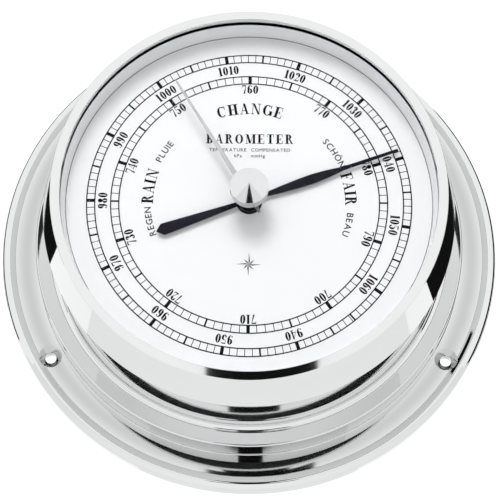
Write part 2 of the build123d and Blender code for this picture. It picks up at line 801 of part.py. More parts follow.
def main():
    os.makedirs("parts", exist_ok=True)
    case_parts = [case_body, bezel, glass, glass_gasket, rehaut_ring, dial, back_cover,
                  back_cover_screws]
    frame_parts = [dial_pillars, dial_pillar_screws, movement_top_plate, movement_base_plate,
                   movement_pillars, top_plate_screws, base_plate_screws, bridge_pillars,
                   bridge_screws, bearing_screws]
    capsule_parts = [adjusting_screw, capsule_carrier, carrier_screws, aneroid_capsule,
                     capsule_stem]
    train_parts = [rocker_arbor, bimetal_lever, pull_lever, link_rod, sector_gear,
                   sector_arbor, pointer_arbor, hairspring, hairspring_collet,
                   hairspring_stud]
    hand_parts = [pressure_pointer, pointer_hub, hub_collar, set_hand, set_hub, set_stem,
                  set_knob, glass_bush, bush_nut]
    for maker in case_parts + frame_parts + capsule_parts + train_parts + hand_parts:
        save(maker.__name__, maker())
    save("train_bridge", train_bridge() + stud_arm()
         - rod(pivot_r + run_gap, bridge_z - 1, bridge_top_z + 1))
    save("rocker_bearing_left", rocker_bearing(-1))
    save("rocker_bearing_right", rocker_bearing(1))


main()
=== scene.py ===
# %% [markdown]
# # A ship's aneroid barometer
# A chromed brass case is screwed to a bulkhead. Under its glass lie a printed dial, a black
# pressure pointer and a silver set hand, which a pointed knob in the glass turns by hand.
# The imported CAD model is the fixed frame. Every cell below adds looks to it, or replaces a
# plain CAD node with a finer mesh of the same shape in the same place.

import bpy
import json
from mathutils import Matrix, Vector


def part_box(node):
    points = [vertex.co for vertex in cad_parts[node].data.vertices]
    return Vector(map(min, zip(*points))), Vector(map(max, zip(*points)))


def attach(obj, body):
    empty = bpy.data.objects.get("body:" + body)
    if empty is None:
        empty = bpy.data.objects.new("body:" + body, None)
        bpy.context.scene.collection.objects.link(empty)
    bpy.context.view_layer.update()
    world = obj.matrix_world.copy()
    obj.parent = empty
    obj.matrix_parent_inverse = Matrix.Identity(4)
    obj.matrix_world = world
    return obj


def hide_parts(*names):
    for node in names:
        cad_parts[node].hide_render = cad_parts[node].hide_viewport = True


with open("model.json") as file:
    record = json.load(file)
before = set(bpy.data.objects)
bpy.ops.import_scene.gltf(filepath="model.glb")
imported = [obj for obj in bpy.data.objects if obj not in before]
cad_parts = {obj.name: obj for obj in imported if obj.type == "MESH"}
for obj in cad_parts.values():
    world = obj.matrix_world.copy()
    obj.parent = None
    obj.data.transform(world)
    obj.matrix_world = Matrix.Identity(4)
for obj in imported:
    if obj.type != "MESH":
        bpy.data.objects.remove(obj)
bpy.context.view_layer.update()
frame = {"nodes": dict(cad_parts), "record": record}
nodes = frame["nodes"]

# %% Tools that every later cell uses
import json
import math

import bmesh
import bpy
from mathutils import Matrix, Vector

mm = 0.001
scene = bpy.context.scene

# %% [markdown]
# ## Where things are
# The axis of the instrument is the Y axis, and the dial looks towards -Y. So every round
# piece is described by two numbers: how far it reaches out from the axis, and how high it
# stands above the wall, which is minus Y. These helpers read both from the CAD nodes.

# %% Measures read from the frame


def reach(node):
    """How far a round node stands out from the axis."""
    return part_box(node)[1].x


def back_of(node):
    """Height above the wall of the node's back."""
    return -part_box(node)[1].y


def front_of(node):
    """Height above the wall of the node's front."""
    return -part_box(node)[0].y


flange_r = reach("case_body")
case_depth = front_of("case_body")
dial_face = front_of("dial")
for name in ("case_body", "bezel", "glass", "dial", "set_knob"):
    print(name, "reach", round(reach(name) / mm, 2), "from", round(back_of(name) / mm, 2),
          "to", round(front_of(name) / mm, 2), "mm")

# %% [markdown]
# ## The camera
# An instrument like this is best seen through a long lens, which keeps the round flange
# round. The camera stands below the barometer and looks up at it by 21 degrees, so the
# lower side of the case shows. A rotation is built from the direction of view and the
# camera's up direction, because three angles would hide what is meant.

# %% Camera
camera_place = Vector((1.44, -638.35, -242.91)) * mm
view_direction = Vector((-0.00169, 0.93352, 0.35853)).normalized()
camera_up = Vector((-0.00754, -0.35853, 0.93349))
camera_right = view_direction.cross(camera_up).normalized()
camera_up = camera_right.cross(view_direction)
camera_turn = Matrix((camera_right, camera_up, -view_direction)).transposed().to_4x4()

camera_data = bpy.data.cameras.new("camera")
camera_data.lens = 158.4
camera_data.sensor_width = 36
camera_data.clip_start = 0.01
camera = bpy.data.objects.new("camera", camera_data)
camera.matrix_world = Matrix.Translation(camera_place) @ camera_turn
scene.collection.objects.link(camera)
scene.camera = camera
print("camera", round(camera_place.length, 3), "m from the wall plate's centre")

# %% [markdown]
# ## The studio
# Polished chrome has no colour of its own: it shows the room. A studio puts it in a white
# tent and hangs black cards where a dark edge should show. The world is the
# tent, the cards are seen only by reflections, and one large soft lamp from above gives the
# hands their shadows on the dial. A card costs nothing in the other views, because the
# camera never sees it.

# %% Plain materials for the studio


def studio_material(name, colour, roughness):
    """A flat colour without shine."""
    material = bpy.data.materials.new(name)
    material.use_nodes = True
    shader = material.node_tree.nodes["Principled BSDF"]
    shader.inputs["Base Color"].default_value = (*colour, 1)
    shader.inputs["Roughness"].default_value = roughness
    shader.inputs["Specular IOR Level"].default_value = 0
    return material


card_black = studio_material("card_black", (0.006, 0.006, 0.006), 1.0)
floor_white = studio_material("floor_white", (0.86, 0.86, 0.86), 0.9)

# %% World, floor and lamp
scene.view_settings.view_transform = "Standard"
world = bpy.data.worlds.new("white_tent")
world.use_nodes = True
tent = world.node_tree.nodes["Background"]
tent.inputs["Color"].default_value = (1.0, 1.0, 1.0, 1)
tent.inputs["Strength"].default_value = 1.1
scene.world = world


def sheet_object(name, corners, material):
    """A flat studio sheet through the given corners."""
    mesh = bpy.data.meshes.new(name)
    mesh.from_pydata(corners, [], [tuple(range(len(corners)))])
    mesh.materials.append(material)
    sheet = bpy.data.objects.new(name, mesh)
    scene.collection.objects.link(sheet)
    return sheet


floor_half = 4.0
floor_z = -0.6
sheet_object("floor", [(-floor_half, -floor_half, floor_z), (floor_half, -floor_half, floor_z),
                       (floor_half, floor_half, floor_z), (-floor_half, floor_half, floor_z)],
             floor_white)

lamp_data = bpy.data.lights.new("soft_lamp", "AREA")
lamp_data.shape = "DISK"
lamp_data.size = 0.5
lamp_data.energy = 3.2
lamp = bpy.data.objects.new("soft_lamp", lamp_data)
lamp_place = Vector((-0.12, -0.95, 0.55))
lamp.matrix_world = (Matrix.Translation(lamp_place)
                     @ lamp_place.to_track_quat("Z", "Y").to_matrix().to_4x4())
lamp.visible_glossy = False
scene.collection.objects.link(lamp)
print("lamp", round(lamp_place.length, 2), "m away, hidden from reflections")

# %% [markdown]
# ## Black cards in front
# A flat polished face sees straight out in front, a little above the axis. One tall narrow
# card there gives every flat face its dark bar at 6 o'clock. A wider card below it is seen
# only by faces that lean down, such as the lower side of the knob's point, where it makes a
# dark wedge. Both are sized by the angles above and below the horizon that they cover.

# %% Cards in front
card_distance = 1.0
strip_sides = (-0.033, 0.049)
strip_angles = (-26, 19)
foot_low_sides, foot_high_sides = (-0.17, 0.21), (-0.13, 0.17)
foot_angles = (-36, -19)


def card(name, corners):
    """A black sheet that only reflections see."""
    sheet = sheet_object(name, corners, card_black)
    sheet.visible_camera = False
    sheet.visible_shadow = False
    sheet.visible_diffuse = False
    return sheet


def front_card(name, low_sides, high_sides, angles):
    """A card square to the axis, between two angles from the horizon in degrees."""
    low, high = (card_distance * math.tan(math.radians(angle)) for angle in angles)
    card(name, [(low_sides[0], -card_distance, low), (low_sides[1], -card_distance, low),
                (high_sides[1], -card_distance, high), (high_sides[0], -card_distance, high)])


front_card("front_strip", strip_sides, strip_sides, strip_angles)
front_card("front_foot", foot_low_sides, foot_high_sides, foot_angles)
print("cards in front:", card_distance, "m away, from", foot_angles[0], "to", strip_angles[1],
      "degrees")

# %% [markdown]
# ## Black cards round the object
# Where does a card have to hang to show in a given face? Turn the question round: send the
# camera's view to the face, mirror it there, and hang the card along the mirrored ray. Two
# numbers describe a face of a round object: the clock angle that it stands at, and how far
# it leans from the dial's direction. Rounded edges sweep through many leans in a fraction
# of a millimetre, so a card for them shows as a fine dark line. The bezel's side is almost
# flat, so its cards show as broad dark patches.

# %% Cards that follow a face
ring_distance = 1.5
card_steps = 8
bezel_side_lean = 77.8
bezel_side_spread = 7


def mirrored(clock, lean):
    """Where the camera looks off a polished face, whose clock angle and lean are in degrees."""
    clock, lean = math.radians(clock), math.radians(lean)
    normal = Vector((math.sin(lean) * math.sin(clock), -math.cos(lean),
                     math.sin(lean) * math.cos(clock)))
    return view_direction - 2 * view_direction.dot(normal) * normal


def ring_card(name, clocks, leans):
    """A black band that shows in the faces between two clock angles and two leans."""
    first, last = clocks
    turns = [first + (last - first) * k / card_steps for k in range(card_steps + 1)]
    near_side = [mirrored(turn, leans[0]) * ring_distance for turn in turns]
    far_side = [mirrored(turn, leans[1]) * ring_distance for turn in reversed(turns)]
    card(name, near_side + far_side)


bezel_leans = (bezel_side_lean - bezel_side_spread, bezel_side_lean + bezel_side_spread)
ring_card("edge_left", (246, 314), (44, 60))
ring_card("edge_right", (54, 120), (38, 62))
ring_card("cone_left", (254, 287), bezel_leans)
ring_card("cone_right", (80, 117), bezel_leans)
print("cards round the object:", ring_distance, "m away, bezel leans", bezel_leans)

# %% [markdown]
# ## Turned pieces
# The case, the bezel and the knob are turned on a lathe or spun over a former, so each is
# one outline carried round the axis. A subdivision surface would soften the flats, and the
# Screw modifier guesses its normals, which shows at once in a mirror finish. So the outline
# is carried round in code, and every corner of every face gets the exact normal of the
# outline at that point. Flats stay dead flat and rounds stay true, on a light mesh.

# %% Outline with rounded corners


def outline_of(corners, round_steps=7):
    """Segments of a closed outline. A corner is (reach, height) or (reach, height, round).

    Each segment is (start, end, normal at start, normal at end), all in the outline's plane,
    with the material on the left of the direction of travel."""
    count = len(corners)
    starts, ends, arcs = [], [], []
    for i, corner in enumerate(corners):
        here = Vector(corner[:2])
        before = (Vector(corners[i - 1][:2]) - here).normalized()
        after = (Vector(corners[(i + 1) % count][:2]) - here).normalized()
        size = corner[2] if len(corner) == 3 else 0.0
        if size == 0.0:
            starts.append(here)
            ends.append(here)
            arcs.append([])
            continue
        half = before.angle(after) / 2
        run = size / math.tan(half)
        centre = here + (before + after).normalized() * (size / math.sin(half))
        first, last = here + before * run, here + after * run
        bulge = 1 if centre_is_left(here + before, here, centre) else -1
        spokes = [(first - centre).normalized().slerp((last - centre).normalized(),
                                                      k / round_steps)
                  for k in range(round_steps + 1)]
        arcs.append([(centre + s * size, s * bulge) for s in spokes])
        starts.append(first)
        ends.append(last)
    segments = []
    for i in range(count):
        for (p, n), (q, m) in zip(arcs[i], arcs[i][1:]):
            segments.append((p, q, n, m))
        p, q = ends[i], starts[(i + 1) % count]
        if (q - p).length > 1e-9:
            along = (q - p).normalized()
            normal = Vector((along.y, -along.x))
            segments.append((p, q, normal, normal))
    return segments


def centre_is_left(a, b, c):
    """True if c lies on the left of the line from a to b."""
    return (b - a).cross(c - b) > 0


# %% Carry an outline round the axis


def around(point, turn):
    """A place at (reach, height) turned clockwise from 12 o'clock, in the row frame."""
    return Vector((point.x * math.sin(turn), -point.y, point.x * math.cos(turn)))


def turned(name, corners, steps=288, round_steps=7):
    """A closed mesh turned about the instrument's axis, and the outline's segments."""
    segments = outline_of([tuple(v * mm for v in c) for c in corners], round_steps)
    shell = bmesh.new()
    rings = []
    for p, _, _, _ in segments:
        if p.x < 1e-9:
            pole = shell.verts.new(around(p, 0))
            rings.append([pole] * steps)
        else:
            rings.append([shell.verts.new(around(p, 2 * math.pi * k / steps))
                          for k in range(steps)])
    for i, ring in enumerate(rings):
        following = rings[(i + 1) % len(rings)]
        for k in range(steps):
            loop = [ring[k], following[k], following[(k + 1) % steps], ring[(k + 1) % steps]]
            loop = [v for j, v in enumerate(loop) if v not in loop[:j]]
            if len(loop) > 2:
                shell.faces.new(loop)
    bmesh.ops.recalc_face_normals(shell, faces=shell.faces)
    mesh = bpy.data.meshes.new(name)
    shell.to_mesh(mesh)
    shell.free()
    piece = bpy.data.objects.new(name, mesh)
    scene.collection.objects.link(piece)
    return piece, segments


# %% Exact normals for a turned mesh


def distance_to(point, segment):
    """How far a point of the outline's plane is from a segment, and how far along it."""
    p, q = segment[0], segment[1]
    along = q - p
    t = max(0.0, min(1.0, (point - p).dot(along) / along.length_squared))
    return (point - (p + along * t)).length, t


def shade_turned(piece, segments, sharp_turn=0.35):
    """Give every face corner on the turned surface the outline's exact normal there."""
    mesh = piece.data
    mesh.shade_smooth()
    normals = [None] * len(mesh.loops)
    cache = {}
    for face in mesh.polygons:
        centre = face.center
        spot = Vector((math.hypot(centre.x, centre.z), -centre.y))
        key = (round(spot.x, 7), round(spot.y, 7))
        if key not in cache:
            cache[key] = min(segments, key=lambda s: distance_to(spot, s)[0])
        segment = cache[key]
        for index in face.loop_indices:
            place = mesh.vertices[mesh.loops[index].vertex_index].co
            out = math.hypot(place.x, place.z)
            t = distance_to(Vector((out, -place.y)), segment)[1]
            flat = segment[2].lerp(segment[3], t).normalized()
            turn = math.atan2(place.x, place.z) if out > 1e-9 else math.atan2(centre.x, centre.z)
            exact = around(flat, turn)
            near = face.normal.angle(exact) < sharp_turn
            normals[index] = exact if near else face.normal.copy()
    mesh.normals_split_custom_set(normals)
    return piece


# %% [markdown]
# ## Finishes
# Each finish is a small node tree. The base colour, the roughness and a fine bump come from
# noise in object space, which stays with the piece when it turns. A plain colour would look
# like plastic, because every real surface varies a little. Numbers that are the same all
# over sit on the shader's own sockets.

# %% A finish from noise


def finish(name, dark, light, rough, metallic=0.0, grain=400.0, bump=0.05, stretch=(1, 1, 1),
           sockets=None):
    """A material whose colour and roughness wander between two values with a fine grain."""
    material = bpy.data.materials.new(name)
    material.use_nodes = True
    tree = material.node_tree
    shader = tree.nodes["Principled BSDF"]
    shader.inputs["Metallic"].default_value = metallic
    for socket, value in (sockets or {}).items():
        shader.inputs[socket].default_value = value
    place = tree.nodes.new("ShaderNodeTexCoord")
    spread = tree.nodes.new("ShaderNodeMapping")
    spread.inputs["Scale"].default_value = stretch
    noise = tree.nodes.new("ShaderNodeTexNoise")
    noise.inputs["Scale"].default_value = grain
    noise.inputs["Detail"].default_value = 4
    colour = tree.nodes.new("ShaderNodeMix")
    colour.data_type = "RGBA"
    colour.inputs["A"].default_value = (*dark, 1)
    colour.inputs["B"].default_value = (*light, 1)
    gloss = tree.nodes.new("ShaderNodeMapRange")
    gloss.inputs["To Min"].default_value = rough[0]
    gloss.inputs["To Max"].default_value = rough[1]
    relief = tree.nodes.new("ShaderNodeBump")
    relief.inputs["Strength"].default_value = bump
    relief.inputs["Distance"].default_value = 0.02 * mm
    link = tree.links.new
    link(place.outputs["Object"], spread.inputs["Vector"])
    link(spread.outputs["Vector"], noise.inputs["Vector"])
    link(noise.outputs["Fac"], colour.inputs["Factor"])
    link(noise.outputs["Fac"], gloss.inputs["Value"])
    link(noise.outputs["Fac"], relief.inputs["Height"])
    link(colour.outputs["Result"], shader.inputs["Base Color"])
    link(gloss.outputs["Result"], shader.inputs["Roughness"])
    link(relief.outputs["Normal"], shader.inputs["Normal"])
    return material


# %% [markdown]
# ## Marks left by the lathe and the brush
# A turned face carries fine rings round its axis. The rings come from the distance to the
# axis, so they follow the piece however wide it is. A little noise keeps them from looking
# ruled.

# %% A finish with rings


def turned_finish(name, dark, light, rough, pitch, bump, metallic=1.0):
    """A metal with fine rings round the axis, about one pitch apart."""
    material = finish(name, dark, light, rough, metallic, grain=300.0, bump=0.0)
    tree = material.node_tree
    link = tree.links.new
    place = tree.nodes["Texture Coordinate"]
    split = tree.nodes.new("ShaderNodeSeparateXYZ")
    flat = tree.nodes.new("ShaderNodeCombineXYZ")
    length = tree.nodes.new("ShaderNodeVectorMath")
    length.operation = "LENGTH"
    rings = tree.nodes.new("ShaderNodeTexNoise")
    rings.noise_dimensions = "1D"
    rings.inputs["Scale"].default_value = 1.0 / pitch
    rings.inputs["Detail"].default_value = 3
    link(place.outputs["Object"], split.inputs["Vector"])
    link(split.outputs["X"], flat.inputs["X"])
    link(split.outputs["Z"], flat.inputs["Z"])
    link(flat.outputs["Vector"], length.inputs[0])
    link(length.outputs["Value"], rings.inputs["W"])
    relief = tree.nodes["Bump"]
    relief.inputs["Strength"].default_value = bump
    link(rings.outputs["Fac"], relief.inputs["Height"])
    link(rings.outputs["Fac"], tree.nodes["Map Range"].inputs["Value"])
    return material


# %% [markdown]
# ## A soft shade on the flange
# The flat of the flange lies in a shallow hollow between the bead and the lip, and looks a
# little greyer than the polished edges beside it. The even white tent can't give that soft
# shade by reflection, so it is put into the finish. Its strength fades smoothly on both
# sides of a chosen distance from the axis.

# %% A softly greyer ring


def greyer_ring(material, ring_r, spread, depth):
    """Darken a finish round the axis by a fraction at one reach, fading out on both sides."""
    tree = material.node_tree
    new, link = tree.nodes.new, tree.links.new
    split, flat = new("ShaderNodeSeparateXYZ"), new("ShaderNodeCombineXYZ")
    length, offset, away = new("ShaderNodeVectorMath"), new("ShaderNodeMath"), new("ShaderNodeMath")
    length.operation = "LENGTH"
    offset.operation = "SUBTRACT"
    offset.inputs[1].default_value = ring_r
    away.operation = "ABSOLUTE"
    fade = new("ShaderNodeMapRange")
    fade.interpolation_type = "SMOOTHSTEP"
    fade.inputs["From Max"].default_value = spread
    fade.inputs["To Min"].default_value = 1 - depth
    dimmed = new("ShaderNodeVectorMath")
    dimmed.operation = "SCALE"
    link(tree.nodes["Texture Coordinate"].outputs["Object"], split.inputs["Vector"])
    link(split.outputs["X"], flat.inputs["X"])
    link(split.outputs["Z"], flat.inputs["Z"])
    link(flat.outputs["Vector"], length.inputs[0])
    link(length.outputs["Value"], offset.inputs[0])
    link(offset.outputs["Value"], away.inputs[0])
    link(away.outputs["Value"], fade.inputs["Value"])
    link(fade.outputs["Result"], dimmed.inputs["Scale"])
    link(tree.nodes["Mix"].outputs["Result"], dimmed.inputs[0])
    link(dimmed.outputs["Vector"], tree.nodes["Principled BSDF"].inputs["Base Color"])


# %% [markdown]
# ## The finishes of this instrument
# Three platings differ in brightness and polish, and the case's plating also carries a ring
# of painted shade on its flange. The seal is painted pale as painted light, the ink and the
# hands are kept from shining so that they stay black under the glass, and a near-black
# finish is painted shade on faces that lie in shadow.

# %% Make the finishes
chrome = finish("chrome_plate", (0.75, 0.76, 0.755), (0.79, 0.80, 0.795), (0.015, 0.045), 1.0,
                grain=90.0, bump=0.01)
case_chrome = finish("case_chrome_plate", (0.73, 0.74, 0.74), (0.77, 0.78, 0.78),
                     (0.02, 0.05), 1.0, grain=90.0, bump=0.01)
greyer_ring(case_chrome, ring_r=68.5 * mm, spread=5.0 * mm, depth=0.28)
# Near-black painted shade for the bezel's hidden underside and the bridge behind the dial's hole.
shadow_lacquer = finish("shadow_lacquer", (0.012, 0.012, 0.012), (0.02, 0.02, 0.02),
                        (0.4, 0.6), grain=600.0)
knob_chrome = finish("knob_chrome", (0.70, 0.71, 0.72), (0.76, 0.77, 0.78), (0.06, 0.12), 1.0,
                     grain=300.0, bump=0.02)
brass = turned_finish("satin_brass", (0.62, 0.43, 0.16), (0.80, 0.60, 0.27), (0.22, 0.38),
                      0.35 * mm, 0.25)
steel = finish("polished_steel", (0.50, 0.51, 0.53), (0.66, 0.67, 0.69), (0.12, 0.26), 1.0,
               grain=900.0, bump=0.08)
aluminium = turned_finish("brushed_aluminium", (0.60, 0.61, 0.63), (0.64, 0.65, 0.67),
                          (0.24, 0.42), 0.22 * mm, 0.35)
nickel_silver = turned_finish("nickel_silver", (0.55, 0.52, 0.44), (0.72, 0.69, 0.60),
                              (0.20, 0.34), 0.5 * mm, 0.2)
blued = finish("blued_steel", (0.02, 0.04, 0.16), (0.06, 0.10, 0.34), (0.18, 0.3), 1.0,
               grain=700.0)
# The seal is painted pale as painted light, to lighten the shade in the glass's seat under the bezel's
# lip.
seal_painted_light = finish("seal_rubber", (0.86, 0.87, 0.87), (0.90, 0.91, 0.91), (0.55, 0.75),
                   grain=1500.0, bump=0.3)
enamel = finish("dial_enamel", (0.69, 0.695, 0.71), (0.715, 0.72, 0.735), (0.42, 0.52),
                grain=1200.0, bump=0.06)
ink = finish("dial_ink", (0.008, 0.008, 0.010), (0.016, 0.016, 0.02), (0.45, 0.6),
             grain=2500.0, bump=0.1, sockets={"Specular IOR Level": 0.0})
grey_lacquer = finish("rehaut_lacquer", (0.86, 0.87, 0.88), (0.89, 0.90, 0.91), (0.35, 0.5),
                      grain=1200.0, bump=0.05)
black_lacquer = finish("hand_lacquer", (0.008, 0.007, 0.012), (0.014, 0.012, 0.020),
                       (0.45, 0.6), grain=1500.0, bump=0.08,
                       sockets={"Specular IOR Level": 0.03})
silver = finish("set_hand_silver", (0.30, 0.31, 0.31), (0.35, 0.36, 0.36), (0.38, 0.5), 0.4,
                grain=1500.0, bump=0.06)
print("materials so far:", len(bpy.data.materials))

# %% [markdown]
# ## The glass finish
# A pane over a dial does two things at once: it shows what is under it and lets the light
# in. A path tracer handles the first well and the second badly, because light through glass
# is a caustic. So lamps and sky pass straight through the pane, while eyes and reflections
# meet real glass. Its index is far below that of real glass, because a coated instrument
# glass mirrors very little, and the black of the hands shows every reflection.

# %% Glass
glass_clear = bpy.data.materials.new("clear_glass")
glass_clear.use_nodes = True
glass_tree = glass_clear.node_tree
pane = glass_tree.nodes["Principled BSDF"]
pane.inputs["Base Color"].default_value = (0.99, 0.995, 0.995, 1)
pane.inputs["Transmission Weight"].default_value = 1.0
pane.inputs["Roughness"].default_value = 0.0
pane.inputs["IOR"].default_value = 1.05
let_through = glass_tree.nodes.new("ShaderNodeBsdfTransparent")
which_ray = glass_tree.nodes.new("ShaderNodeLightPath")
either = glass_tree.nodes.new("ShaderNodeMixShader")
glass_tree.links.new(which_ray.outputs["Is Shadow Ray"], either.inputs["Fac"])
glass_tree.links.new(pane.outputs["BSDF"], either.inputs[1])
glass_tree.links.new(let_through.outputs["BSDF"], either.inputs[2])
glass_tree.links.new(either.outputs["Shader"],
                     glass_tree.nodes["Material Output"].inputs["Surface"])
print("glass index", round(pane.inputs["IOR"].default_value, 3))

# %% [markdown]
# ## The case
# One spinning makes the neck, the raised bead round its foot, the flat flange and the rolled
# lip at its rim. The bead is dished towards the neck, which is why its front shows white
# while the flat flange below it shows the dark strip.

# %% Case measures
neck_r = 58.7
bead_r = 65.0
bead_height = 13.5
bead_dish = 1.2
flange_thick = 4.4
lip_height = 5.6
lip_width = 4.0
lip_crest_in = 2.2
lip_shoulder = 1.3
edge_gap, spigot_wall = 0.15, 1.4
dial_ledge, dial_ledge_thick = 2.2, 1.5
cover_gap, cover_ledge, back_bore_height = 0.1, 5.0, 10.0
rim = flange_r / mm
neck_top = back_of("bezel") / mm
bore_r = reach("rehaut_ring") / mm + edge_gap
spigot_r = bore_r + spigot_wall
ledge_r = bore_r - dial_ledge
ledge_top = back_of("dial") / mm
ledge_foot = ledge_top - dial_ledge_thick
cover_seat_r = reach("back_cover") / mm + cover_gap
cover_recess = front_of("back_cover") / mm
back_bore_r = cover_seat_r - cover_ledge
print("flange", rim, "bead", bead_r, "neck", neck_r, "bore", round(bore_r, 2), "mm")

# %% [markdown]
# ## Reading an outline
# The outline starts at the back, runs out under the flange, over the lip, along the flat, up
# the bead and the neck, and comes back down inside. A third number at a corner is the radius
# that it is rounded with. The rounds matter more than the flats here: each one gathers a
# whole room into a thin line of light.

# %% Case outline
case_corners = [
    (cover_seat_r, 0, 0.2),
    (rim, 0, 0.5),
    (rim, lip_height - lip_shoulder, 1.6),
    (rim - lip_crest_in, lip_height, 1.2),
    (rim - lip_width, flange_thick, 1.2),
    (bead_r, flange_thick, 0.3),
    (bead_r, bead_height, 0.5),
    (neck_r, bead_height - bead_dish, 1.8),
    (neck_r, neck_top, 0.3),
    (spigot_r, neck_top),
    (spigot_r, case_depth / mm),
    (bore_r, case_depth / mm),
    (bore_r, ledge_top),
    (ledge_r, ledge_top),
    (ledge_r, ledge_foot),
    (bore_r, ledge_foot),
    (bore_r, back_bore_height),
    (back_bore_r, back_bore_height),
    (back_bore_r, cover_recess),
    (cover_seat_r, cover_recess)]
case_shell, case_outline = turned("case_shell", case_corners)
print("case shell faces", len(case_shell.data.polygons))

# %% [markdown]
# ## Screw holes in the flange
# Three countersunk holes are cut with a Boolean, which is the plain way to say "drill
# here". The exact normals are given after the cut, so the cut can't spoil the mirror.

# %% Drill the case
wall_screws = frame["record"]["mounts"][0]["dims"]
hole_circle = wall_screws["pcd_mm"] / 2 * mm
hole_r, sink_r = wall_screws["hole_r_mm"], 3.5
drill_past = 1


def drill_outline():
    """Half the section of one countersunk hole, as (radius, height) in millimetres."""
    sink = sink_r - hole_r
    low, high = -drill_past, lip_height + drill_past
    return [(0, low), (hole_r, low), (hole_r, flange_thick - sink), (sink_r, flange_thick),
            (sink_r, high), (0, high)]


def drill(out, turn, half_section, steps=48):
    """A cutter for one hole, standing at a distance and a clockwise turn from 12 o'clock."""
    cutter = bmesh.new()
    centre = around(Vector((out, 0)), turn)
    rings = []
    for r, h in half_section:
        if r == 0:
            pole = cutter.verts.new(centre + Vector((0, -h * mm, 0)))
            rings.append([pole] * steps)
            continue
        rings.append([cutter.verts.new(centre + around(Vector((r * mm, h * mm)),
                                                       2 * math.pi * k / steps))
                      for k in range(steps)])
    for ring, following in zip(rings, rings[1:]):
        for k in range(steps):
            loop = [ring[k], following[k], following[(k + 1) % steps], ring[(k + 1) % steps]]
            loop = [v for j, v in enumerate(loop) if v not in loop[:j]]
            if len(loop) > 2:
                cutter.faces.new(loop)
    bmesh.ops.recalc_face_normals(cutter, faces=cutter.faces)
    mesh = bpy.data.meshes.new("drill")
    cutter.to_mesh(mesh)
    cutter.free()
    piece = bpy.data.objects.new("drill", mesh)
    scene.collection.objects.link(piece)
    return piece


def finished_mesh(piece):
    """The piece's mesh with its modifiers applied, and the modifiers gone."""
    bpy.context.view_layer.update()
    seen = piece.evaluated_get(bpy.context.evaluated_depsgraph_get())
    mesh = bpy.data.meshes.new_from_object(seen)
    piece.modifiers.clear()
    piece.data = mesh
    mesh.name = piece.name
    return piece


def cut_away(piece, cutters):
    """Cut holes in a piece, and remove the cutters."""
    for cutter in cutters:
        cut = piece.modifiers.new("cut", "BOOLEAN")
        cut.operation = "DIFFERENCE"
        cut.solver = "EXACT"
        cut.object = cutter
    finished_mesh(piece)
    for cutter in cutters:
        bpy.data.objects.remove(cutter)
    return piece


hole_count = wall_screws["count"]
hole_step = 2 * math.pi / hole_count
cut_away(case_shell, [drill(hole_circle, hole_step * k, drill_outline())
                      for k in range(hole_count)])
case_shell.data.materials.append(case_chrome)
shade_turned(case_shell, case_outline)
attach(case_shell, "case")
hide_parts("case_body")

# %% [markdown]
# ## The bezel
# A turned ring with a slightly conical skirt. It screws over the neck's spigot and holds the
# glass by a narrow lip. Its hidden underside is painted near-black as painted shade, and that
# is what the flange mirrors as a long dark crescent.

# %% Bezel
bezel_back, bezel_front = back_of("bezel") / mm, front_of("bezel") / mm
bezel_overhang, bezel_taper = 2.0, 3.3
bezel_slip = 0.1
skirt_r = neck_r + bezel_overhang
opening_r = 54.64
glass_front = front_of("glass") / mm
glass_seat_r = reach("glass") / mm + edge_gap
bezel_bore_r = spigot_r + bezel_slip
bezel_ring, bezel_outline = turned("bezel_ring", [
    (opening_r, glass_front),
    (glass_seat_r, glass_front),
    (glass_seat_r, case_depth / mm),
    (bezel_bore_r, case_depth / mm),
    (bezel_bore_r, bezel_back),
    (skirt_r, bezel_back, 0.6),
    (skirt_r - bezel_taper, bezel_front, 0.25),
    (opening_r, bezel_front, 0.2)])

# %% [markdown]
# ## Three finishes on one ring
# Chrome covers what shows. The underside is painted near-black as painted shade, and the
# seat behind the glass is painted pale as painted light, to lighten the shade under the lip.
# A face is given its finish by where it lies on the outline.

# %% Finishes of the bezel
near = 0.02
bezel_finishes = [chrome, shadow_lacquer, seal_painted_light]
for material in bezel_finishes:
    bezel_ring.data.materials.append(material)
for face in bezel_ring.data.polygons:
    out = math.hypot(face.center.x, face.center.z) / mm
    height = -face.center.y / mm
    # Faces under the bezel get painted shade, and the glass's seat gets painted light.
    if height < bezel_back + near:
        face.material_index = bezel_finishes.index(shadow_lacquer)
    elif opening_r + near < out < glass_seat_r + near and height < glass_front + near:
        face.material_index = bezel_finishes.index(seal_painted_light)
shade_turned(bezel_ring, bezel_outline)
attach(bezel_ring, "case")
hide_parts("bezel")
print("bezel faces", len(bezel_ring.data.polygons))

# %% [markdown]
# ## Copies round the axis
# A scale of 134 lines or a knob with 60 ridges is one small piece repeated at equal steps.
# Geometry Nodes do that from a handful of named inputs, so a change of the count or the step
# is one number. Each index becomes a turn about the instrument's axis. Every Skip-th copy can
# be left out, because a longer line of the next kind stands there.

# %% The tree


